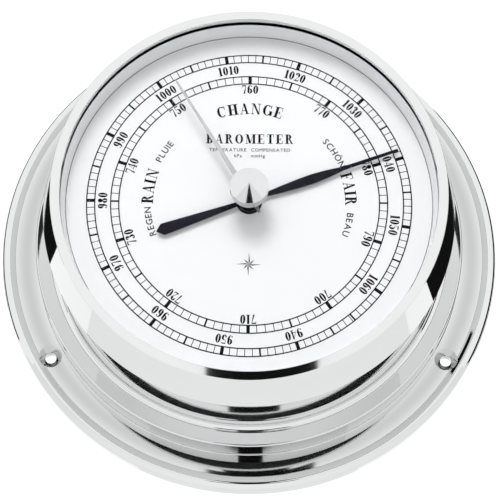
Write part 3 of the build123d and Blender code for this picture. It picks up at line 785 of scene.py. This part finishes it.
def copies_tree():
    """Geometry Nodes: one piece repeated at equal turns round the instrument's axis."""
    tree = bpy.data.node_groups.new("copies_round_axis", "GeometryNodeTree")
    face = tree.interface
    face.new_socket("Geometry", in_out="OUTPUT", socket_type="NodeSocketGeometry")
    for name, kind in (("Piece", "Object"), ("Count", "Int"), ("First", "Float"),
                       ("Step", "Float"), ("Skip", "Float"), ("Phase", "Float"),
                       ("Finish", "Material")):
        face.new_socket(name, in_out="INPUT", socket_type="NodeSocket" + kind)
    new, link = tree.nodes.new, tree.links.new
    given, result = new("NodeGroupInput"), new("NodeGroupOutput")
    points, piece = new("GeometryNodePoints"), new("GeometryNodeObjectInfo")
    index = new("GeometryNodeInputIndex")
    turn, shifted, left_over, kept = (new("ShaderNodeMath") for _ in range(4))
    turn.operation = "MULTIPLY_ADD"
    shifted.operation = "ADD"
    left_over.operation = "MODULO"
    kept.operation = "GREATER_THAN"
    kept.inputs[1].default_value = 0.5
    axis, rotation = new("ShaderNodeCombineXYZ"), new("FunctionNodeEulerToRotation")
    copies = new("GeometryNodeInstanceOnPoints")
    solid, painted = new("GeometryNodeRealizeInstances"), new("GeometryNodeSetMaterial")
    link(given.outputs["Count"], points.inputs["Count"])
    link(given.outputs["Piece"], piece.inputs["Object"])
    link(index.outputs["Index"], turn.inputs[0])
    link(given.outputs["Step"], turn.inputs[1])
    link(given.outputs["First"], turn.inputs[2])
    link(turn.outputs["Value"], axis.inputs["Y"])
    link(axis.outputs["Vector"], rotation.inputs["Euler"])
    link(index.outputs["Index"], shifted.inputs[0])
    link(given.outputs["Phase"], shifted.inputs[1])
    link(shifted.outputs["Value"], left_over.inputs[0])
    link(given.outputs["Skip"], left_over.inputs[1])
    link(left_over.outputs["Value"], kept.inputs[0])
    link(points.outputs["Points"], copies.inputs["Points"])
    link(kept.outputs["Value"], copies.inputs["Selection"])
    link(piece.outputs["Geometry"], copies.inputs["Instance"])
    link(rotation.outputs["Rotation"], copies.inputs["Rotation"])
    link(copies.outputs["Instances"], solid.inputs["Geometry"])
    link(solid.outputs["Geometry"], painted.inputs["Geometry"])
    link(given.outputs["Finish"], painted.inputs["Material"])
    link(painted.outputs["Geometry"], result.inputs["Geometry"])
    return tree


round_axis = copies_tree()
never = 1e6


def copies(name, piece, count, first, step, material, skip=never, phase=1.0):
    """A finished object that holds the repeated piece. The piece itself is used up."""
    mesh = bpy.data.meshes.new(name)
    whole = bpy.data.objects.new(name, mesh)
    scene.collection.objects.link(whole)
    nodes_modifier = whole.modifiers.new("copies", "NODES")
    nodes_modifier.node_group = round_axis
    values = {"Piece": piece, "Count": count, "First": first, "Step": step, "Skip": skip,
              "Phase": phase, "Finish": material}
    for socket in round_axis.interface.items_tree:
        if socket.in_out == "INPUT":
            nodes_modifier[socket.identifier] = values[socket.name]
    finished_mesh(whole)
    bpy.data.objects.remove(piece)
    return whole


# %% [markdown]
# ## Ink on the dial
# Printed ink is a very thin layer. Each line is modelled as a closed slab a few hundredths
# of a millimetre thick, which keeps its edge sharp at any distance and needs no picture
# file. A line of any shape is a ribbon: two rows of points, one along each side.

# %% Ribbons of ink
ink_thick = 0.03


def ribbon_mesh(name, ribbons, thick=ink_thick):
    """Thin closed slabs on the dial. A ribbon is (left points, right points, joined up)."""
    slab = bmesh.new()
    low, high = -dial_face, -dial_face - thick * mm
    for left, right, joined in ribbons:
        rows = [[slab.verts.new((p[0] * mm, y, p[1] * mm)) for y in (low, high) for p in pair]
                for pair in zip(left, right)]
        pairs = list(zip(rows, rows[1:]))
        if joined:
            pairs.append((rows[-1], rows[0]))
        for (a, b, c, d), (e, f, g, h) in pairs:
            for loop in ((a, e, f, b), (c, d, h, g), (a, c, g, e), (b, f, h, d)):
                slab.faces.new(loop)
        if not joined:
            for a, b, c, d in (rows[0], rows[-1]):
                slab.faces.new((a, b, d, c))
    bmesh.ops.recalc_face_normals(slab, faces=slab.faces)
    mesh = bpy.data.meshes.new(name)
    slab.to_mesh(mesh)
    slab.free()
    piece = bpy.data.objects.new(name, mesh)
    scene.collection.objects.link(piece)
    return piece


def ring_ribbon(r, width, steps=180):
    """A circle line of the given radius and width."""
    sides = [[(side * math.sin(2 * math.pi * k / steps), side * math.cos(2 * math.pi * k / steps))
              for k in range(steps)] for side in (r - width / 2, r + width / 2)]
    return sides[0], sides[1], True


def joined_up(name, pieces, body):
    """One object from several, placed on a body and in a material slot of the model."""
    whole = bmesh.new()
    for piece in pieces:
        whole.from_mesh(piece.data)
    mesh = bpy.data.meshes.new(name)
    whole.to_mesh(mesh)
    whole.free()
    for material in pieces[0].data.materials:
        mesh.materials.append(material)
    for piece in pieces:
        bpy.data.objects.remove(piece)
    one = bpy.data.objects.new(name, mesh)
    scene.collection.objects.link(one)
    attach(one, body)
    return one


# %% [markdown]
# ## The two scales
# The outer scale is in hectopascals and the inner one in millimetres of mercury. On both,
# the standard pressure stands at the top. Each scale has three kinds of line: thin at every
# unit, heavier at every fifth and bold at every tenth.

# %% Scale lines
full_turn = 2 * math.pi
standard_hpa, standard_mm = 1013.25, 760.0
turn_per_hpa = full_turn / 133.322
turn_per_mm = full_turn / 100
hpa_band = (45.02, 47.40)
mm_band = (38.01, 40.39)
circle_line = 0.36
line_widths = {1: 0.22, 5: 0.52, 10: 1.0}


def scale_lines(name, band, low, high, standard, turn_per_unit):
    """All the lines of one scale. Skip leaves out what a coarser line covers."""
    kinds = []
    for unit, coarser in ((1, 5), (5, 2), (10, never)):
        first = math.ceil(low / unit) * unit
        count = (high - first) // unit + 1
        half = line_widths[unit] / 2
        line = ribbon_mesh("line", [([(-half, band[0]), (-half, band[1])],
                                     [(half, band[0]), (half, band[1])], False)])
        kinds.append(copies("lines", line, count, (first - standard) * turn_per_unit,
                            unit * turn_per_unit, ink, coarser,
                            first / unit if coarser != never else 1.0))
    return joined_up(name, kinds, "case")


hpa_lines = scale_lines("print_hpa_lines", hpa_band, 932, 1065, standard_hpa, turn_per_hpa)
mm_lines = scale_lines("print_mm_lines", mm_band, 700, 799, standard_mm, turn_per_mm)
print("scale faces", len(hpa_lines.data.polygons), len(mm_lines.data.polygons))

# %% The circles that close each scale, and the one at the dial's edge
edge_circle_r, edge_line = 53.5, 0.16
circles = [ring_ribbon(r, circle_line) for r in hpa_band + mm_band]
print_circles = ribbon_mesh("print_circles", circles + [ring_ribbon(edge_circle_r, edge_line)])
print("circles:", len(circles) + 1, "faces", len(print_circles.data.polygons))

# %% [markdown]
# ## Letters with thick and thin strokes
# The numbers and the weather words are set in a modern-face style: heavy uprights, hairline
# joins and flat hairline serifs. A few strokes describe each sign, in parts of its height:
# bars, hairlines, and arcs that are thick at the sides and thin at top and bottom, as a
# broad pen writes them. Only generic signs are needed, so a small set is enough.

# %% Strokes
heavy, hair = 0.22, 0.065


def bar(x0, y0, x1, y1, width=heavy):
    """A straight stroke with level ends."""
    half = width / 2
    return [(x0 - half, y0), (x1 - half, y1)], [(x0 + half, y0), (x1 + half, y1)], False


def rule(x0, x1, y, width=hair):
    """A level stroke."""
    return [(x0, y - width / 2), (x1, y - width / 2)], [(x0, y + width / 2), (x1, y + width / 2)], False


def arc(cx, cy, rx, ry, start=0, end=360, thick=heavy, steps=14):
    """A stroke round an oval: thick at its sides, thin at its top and bottom."""
    whole = end - start == 360
    turns = [math.radians(start + (end - start) * k / steps)
             for k in range(steps if whole else steps + 1)]
    outer = [(cx + rx * math.cos(a), cy + ry * math.sin(a)) for a in turns]
    inner = [(cx + (rx - thick) * math.cos(a), cy + (ry - hair) * math.sin(a)) for a in turns]
    return outer, inner, whole


def dot(x, y, r=0.075):
    """A round spot, as at the end of a curl."""
    turns = [math.radians(a) for a in (-80, -45, 0, 45, 80)]
    return ([(x - r * math.cos(a), y + r * math.sin(a)) for a in turns],
            [(x + r * math.cos(a), y + r * math.sin(a)) for a in turns], False)


def stem(x, left=0.11, right=0.11, foot=True, top=True, width=heavy):
    """An upright with hairline serifs at its ends."""
    strokes = [bar(x, 0, x, 1, width)]
    if foot:
        strokes.append(rule(x - width / 2 - left, x + width / 2 + right, hair / 2))
    if top:
        strokes.append(rule(x - width / 2 - left, x + width / 2 + right, 1 - hair / 2))
    return strokes


# %% The signs
six = [arc(0.26, 0.31, 0.26, 0.31), arc(0.30, 0.5, 0.30, 0.5, 75, 180), dot(0.44, 0.86)]
nine = [([(0.52 - x, 1 - y) for x, y in left], [(0.52 - x, 1 - y) for x, y in right], joined)
        for left, right, joined in six]
c_strokes = [arc(0.38, 0.5, 0.38, 0.5, 48, 312, steps=20), bar(0.67, 0.66, 0.67, 0.99, hair)]
e_strokes = stem(0.18, right=0) + [rule(0.2, 0.62, 0.983), rule(0.2, 0.64, 0.017),
                                   rule(0.2, 0.44, 0.5), bar(0.61, 0.70, 0.61, 1, 0.05),
                                   bar(0.63, 0, 0.63, 0.32, 0.05), bar(0.44, 0.38, 0.44, 0.62, 0.05)]
signs = {
    "0": (0.54, [arc(0.27, 0.5, 0.27, 0.5)]),
    "1": (0.44, [bar(0.24, 0, 0.24, 1), rule(0.04, 0.44, hair / 2), bar(0.06, 0.84, 0.2, 0.985, 0.05)]),
    "2": (0.52, [arc(0.25, 0.73, 0.25, 0.27, -40, 165), dot(0.09, 0.74),
                 bar(0.05, 0.05, 0.42, 0.56, 0.07), rule(0.02, 0.46, 0.065, 0.13),
                 bar(0.46, 0.1, 0.49, 0.28, 0.05)]),
    "3": (0.52, [arc(0.23, 0.76, 0.23, 0.24, -88, 150), arc(0.24, 0.27, 0.27, 0.27, -150, 88),
                 dot(0.09, 0.80), dot(0.08, 0.2)]),
    "4": (0.54, [bar(0.38, 0, 0.38, 1, 0.14), bar(0.03, 0.28, 0.40, 1, 0.05), rule(0, 0.54, 0.27),
                 rule(0.22, 0.54, hair / 2)]),
    "5": (0.50, [arc(0.23, 0.31, 0.27, 0.31, -150, 115), dot(0.08, 0.22),
                 bar(0.08, 0.5, 0.08, 0.97, 0.045), rule(0.06, 0.45, 0.94, 0.12)]),
    "6": (0.54, six),
    "7": (0.50, [rule(0.03, 0.48, 0.935, 0.13), bar(0.04, 0.72, 0.05, 0.95, 0.05),
                 ([(0.43, 0.9), (0.14, 0)], [(0.48, 0.9), (0.31, 0)], False)]),
    "8": (0.54, [arc(0.27, 0.75, 0.22, 0.25), arc(0.27, 0.27, 0.27, 0.27)]),
    "9": (0.54, nine),
    "A": (0.76, [bar(0.12, 0, 0.38, 1, 0.05), bar(0.62, 0, 0.38, 1, 0.17), rule(0.18, 0.54, 0.33),
                 rule(0.02, 0.24, hair / 2), rule(0.46, 0.78, hair / 2)]),
    "B": (0.66, stem(0.18, right=0) + [arc(0.28, 0.75, 0.30, 0.25, -90, 90),
                                       arc(0.30, 0.26, 0.34, 0.26, -90, 90),
                                       rule(0.2, 0.3, 0.983), rule(0.2, 0.3, 0.5),
                                       rule(0.2, 0.32, 0.017)]),
    "C": (0.74, c_strokes),
    "E": (0.68, e_strokes),
    "F": (0.64, stem(0.18) + [rule(0.2, 0.62, 0.983), rule(0.2, 0.44, 0.5),
                              bar(0.61, 0.70, 0.61, 1, 0.05), bar(0.44, 0.38, 0.44, 0.62, 0.05)]),
    "G": (0.80, c_strokes + [bar(0.68, 0.04, 0.68, 0.42), rule(0.52, 0.82, 0.42)]),
    "H": (0.80, stem(0.18) + stem(0.64) + [rule(0.2, 0.62, 0.5)]),
    "I": (0.36, stem(0.18)),
    "M": (0.98, stem(0.14, width=0.05) + stem(0.84) + [bar(0.18, 1, 0.47, 0.04),
                                                       bar(0.47, 0.04, 0.78, 1, 0.05)]),
    "N": (0.82, stem(0.15, width=0.05) + stem(0.70, foot=False, width=0.05)
          + [bar(0.2, 1, 0.68, 0, 0.17)]),
    "O": (0.78, [arc(0.39, 0.5, 0.39, 0.5, steps=20)]),
    "R": (0.76, stem(0.18) + [arc(0.28, 0.745, 0.32, 0.255, -90, 90), rule(0.2, 0.3, 0.983),
                              rule(0.2, 0.3, 0.507), bar(0.42, 0.5, 0.64, 0, 0.16),
                              rule(0.54, 0.78, hair / 2)]),
    "T": (0.70, stem(0.35, top=False) + [rule(0.02, 0.68, 0.983), bar(0.04, 0.70, 0.04, 1, 0.05),
                                         bar(0.66, 0.70, 0.66, 1, 0.05)]),
}

# %% Set a word


def placed(ribbons, size, origin, turn):
    """Strokes scaled to a height, turned clockwise and moved to a place on the dial."""
    sin, cos = math.sin(turn), math.cos(turn)
    return [tuple([(origin[0] + size * (x * cos + y * sin), origin[1] + size * (y * cos - x * sin))
                   for x, y in side] for side in ribbon[:2]) + (ribbon[2],)
            for ribbon in ribbons]


def set_word(word, size, spacing, r=None, turn=0.0, centre=(0.0, 0.0)):
    """Ribbons of a word, centred on an arc of radius r, or on a level line through centre."""
    advances = [signs[sign][0] for sign in word]
    length = sum(advances) + spacing * (len(word) - 1)
    ribbons = []
    along = -length / 2
    for sign, advance in zip(word, advances):
        middle = (along + advance / 2) * size
        own = [tuple([(x - advance / 2, y - 0.5) for x, y in side] for side in ribbon[:2])
               + (ribbon[2],) for ribbon in signs[sign][1]]
        if r is None:
            ribbons += placed(own, size, (centre[0] + middle, centre[1]), 0.0)
        else:
            at = turn + middle / r
            ribbons += placed(own, size, (r * math.sin(at), r * math.cos(at)), at)
        along += advance + spacing
    return ribbons


# %% Numbers of both scales
hpa_label_r, mm_label_r = 42.75, 36.2
label_size, label_gap = 2.8, 0.08
numbers = []
for value in range(940, 1061, 10):
    numbers += set_word(str(value), label_size, label_gap, hpa_label_r,
                        (value - standard_hpa) * turn_per_hpa)
for value in range(700, 791, 10):
    numbers += set_word(str(value), label_size, label_gap, mm_label_r,
                        (value - standard_mm) * turn_per_mm)
print_numbers = ribbon_mesh("print_numbers", numbers)

# %% [markdown]
# ## A small compass star
# A plain eight-pointed star fills the lower half of the dial. Only one half of each point
# is inked, as on old charts, which makes the points look folded.

# %% A plain compass star
star_centre = (0.0, -19.4)
star_points = 8
long_point, short_point, star_waist = 3.4, 2.108, 1.0
tip_turn = 0.02


def round_star(out, turn):
    """A place at a distance and a clockwise turn from the star's centre."""
    return star_centre[0] + out * math.sin(turn), star_centre[1] + out * math.cos(turn)


def star_ribbons():
    """The inked half of each point, from the centre out, with a tip a fraction wide."""
    ribbons = []
    step = full_turn / star_points
    for k in range(star_points):
        length = long_point if k % 2 == 0 else short_point
        inner = [star_centre, round_star(length, k * step)]
        outer = [round_star(star_waist, (k + 0.5) * step), round_star(length, k * step + tip_turn)]
        ribbons.append((inner, outer, False))
    return ribbons


# %% Weather words and a plain title
word_r = 29.7
words = set_word("CHANGE", 3.5, 0.20, 29.9, 0.0)
words += set_word("RAIN", 3.4, 0.16, word_r, math.radians(-80.6))
words += set_word("FAIR", 3.4, 0.16, word_r, math.radians(81.5))
words += set_word("BAROMETER", 3.0, 0.22, centre=(0.0, 20.1))
words += star_ribbons()
print_words = ribbon_mesh("print_words", words)
for piece in (print_circles, print_numbers, print_words):
    piece.data.materials.append(ink)
    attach(piece, "case")
print("number faces", len(print_numbers.data.polygons), "word faces", len(print_words.data.polygons))

# %% [markdown]
# ## Small plain lettering
# The translations of the weather words are in a thin sans, which is what Blender's built-in
# font looks like. Each letter is its own text object, turned into a mesh, so that it can be
# stood on the arc at its own angle.

# %% Small words
small_size = 2.75
small_gap = 0.42
boldness = 0.012
letter_middle = 0.35
space_width = 1.0


def letter_mesh(letter, size):
    """One letter of the built-in font as a closed slab, and its width."""
    curve = bpy.data.curves.new("letter", "FONT")
    curve.body = letter
    curve.size = size * mm
    curve.resolution_u = 3
    curve.extrude = ink_thick / 2 * mm
    curve.offset = boldness * size * mm
    carrier = bpy.data.objects.new("letter", curve)
    scene.collection.objects.link(carrier)
    bpy.context.view_layer.update()
    seen = carrier.evaluated_get(bpy.context.evaluated_depsgraph_get())
    mesh = bpy.data.meshes.new_from_object(seen)
    bpy.data.objects.remove(carrier)
    xs = [v.co.x for v in mesh.vertices]
    return mesh, min(xs), max(xs)


def small_word(word, size, gap, r=None, turn=0.0, centre=(0.0, 0.0)):
    """Letter objects of a word on an arc, or on a level line through centre."""
    letters = [None if sign == " " else letter_mesh(sign, size) for sign in word]
    widths = [space_width if one is None else (one[2] - one[1]) / mm for one in letters]
    along = -(sum(widths) + gap * (len(word) - 1)) / 2
    drop = letter_middle * size
    pieces = []
    for one, width in zip(letters, widths):
        middle = along + width / 2
        along += width + gap
        if one is None:
            continue
        mesh, left, right = one
        if r is None:
            at, origin = 0.0, (centre[0] + middle, centre[1])
        else:
            at = turn + middle / r
            origin = (r * math.sin(at), r * math.cos(at))
        sin, cos = math.sin(at), math.cos(at)
        for v in mesh.vertices:
            x = v.co.x / mm - (left + right) / 2 / mm
            y = v.co.y / mm - drop
            v.co = Vector(((origin[0] + x * cos + y * sin) * mm,
                           -dial_face - ink_thick / 2 * mm - v.co.z,
                           (origin[1] + y * cos - x * sin) * mm))
        piece = bpy.data.objects.new("letter", mesh)
        scene.collection.objects.link(piece)
        pieces.append(piece)
    return pieces


tiny_size, tiny_gap = 1.45, 0.22
small = []
for word, turn in (("PLUIE", -57.6), ("REGEN", -102.3), ("SCHÖN", 57.8), ("BEAU", 103.5)):
    small += small_word(word, small_size, small_gap, word_r, math.radians(turn))
small += small_word("TEMPERATURE COMPENSATED", tiny_size, tiny_gap, centre=(0.0, 16.6))
small += small_word("hPa  mmHg", tiny_size, tiny_gap, centre=(0.0, 14.7))
for piece in small:
    piece.data.materials.clear()
    piece.data.materials.append(ink)
print_small = joined_up("print_small_words", small, "case")
print("small word faces", len(print_small.data.polygons))

# %% [markdown]
# ## The knob
# A turned core with a shallow polished point, and sixty straight ridges for the fingers. On
# the real knob they are one piece of brass. Here the ridges are an object of their own,
# because Geometry Nodes make them, and both ride on the set hand's body.

# %% Knob core
knob_r = reach("set_knob") / mm
knob_back, knob_tip = back_of("set_knob") / mm, front_of("set_knob") / mm
rim_height = 4.3
knob_rim = knob_back + rim_height
ridge_count = 60
ridge_depth = 0.28
foot_in, foot_height = 0.7, 0.5
collar_foot, collar_top = 0.45, 0.2
core_r = knob_r - ridge_depth
knob_core, knob_outline = turned("knob_core", [
    (0, knob_back),
    (knob_r - foot_in, knob_back),
    (core_r, knob_back + foot_height),
    (core_r, knob_rim - collar_foot),
    (knob_r, knob_rim - collar_top),
    (knob_r, knob_rim, 0.06),
    (0, knob_tip)], steps=180)
knob_core.data.materials.append(knob_chrome)
shade_turned(knob_core, knob_outline)

# %% One ridge of the knob
ridge_share = 0.86
ridge_sink, crest_in = 0.05, 0.02
ridge_foot, ridge_top = knob_back + 0.7, knob_rim - 0.3


def ridge_object():
    """A three-sided bar along the knob at 12 o'clock, sunk a little into the core."""
    half = math.pi * core_r / ridge_count * ridge_share
    section = ((-half, core_r - ridge_sink), (0, knob_r - crest_in), (half, core_r - ridge_sink))
    bar_mesh = bmesh.new()
    ends = [[bar_mesh.verts.new((x * mm, -height * mm, z * mm)) for x, z in section]
            for height in (ridge_foot, ridge_top)]
    for end in ends:
        bar_mesh.faces.new(end)
    for k in range(3):
        following = (k + 1) % 3
        bar_mesh.faces.new((ends[0][k], ends[0][following], ends[1][following], ends[1][k]))
    bmesh.ops.recalc_face_normals(bar_mesh, faces=bar_mesh.faces)
    mesh = bpy.data.meshes.new("ridge")
    bar_mesh.to_mesh(mesh)
    bar_mesh.free()
    piece = bpy.data.objects.new("ridge", mesh)
    scene.collection.objects.link(piece)
    return piece


# %% All the ridges
ridges = copies("knob_ridges", ridge_object(), ridge_count, 0.0, full_turn / ridge_count,
                knob_chrome)
for piece in (knob_core, ridges):
    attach(piece, "set_hand")
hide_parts("set_knob")
print("knob faces", len(knob_core.data.polygons), "ridge faces", len(ridges.data.polygons))

# %% [markdown]
# ## The pieces that stay as they are
# The hands, the dial, the glass and the whole movement are already the right shape, so they
# keep their CAD meshes and only get a finish. Plates and levers are brass, arbors and screws
# are steel, and the bridge behind the dial's hole is painted near-black as painted shade, so
# that nothing bright shows through the hole.

# %% Finishes of the carried-over nodes
node_finishes = {
    chrome: ["bush_nut", "glass_bush", "set_stem", "hub_collar"],
    brass: ["movement_top_plate", "movement_base_plate", "movement_pillars", "dial_pillars",
            "bridge_pillars", "rocker_bearing_left", "rocker_bearing_right",
            "capsule_stem", "sector_gear", "pull_lever", "hairspring_collet",
            "hairspring_stud"],
    steel: ["back_cover_screws", "dial_pillar_screws", "top_plate_screws", "base_plate_screws",
            "bridge_screws", "bearing_screws", "carrier_screws", "rocker_arbor",
            "sector_arbor", "pointer_arbor", "link_rod", "adjusting_screw", "capsule_carrier",
            "bimetal_lever"],
    aluminium: ["back_cover"],
    nickel_silver: ["aneroid_capsule"],
    blued: ["hairspring"],
    # The bridge is painted near-black as painted shade, so that the dial's hole looks dark.
    shadow_lacquer: ["train_bridge"],
    # The glass gasket is painted pale as painted light, to lighten the shade in its seat.
    seal_painted_light: ["glass_gasket"],
    enamel: ["dial"],
    grey_lacquer: ["rehaut_ring"],
    black_lacquer: ["pressure_pointer", "pointer_hub"],
    silver: ["set_hand", "set_hub"],
    glass_clear: ["glass"],
}
for material, names in node_finishes.items():
    for name in names:
        for slot in nodes[name].material_slots:
            slot.material = material
print("nodes with a finish:", sum(len(names) for names in node_finishes.values()))
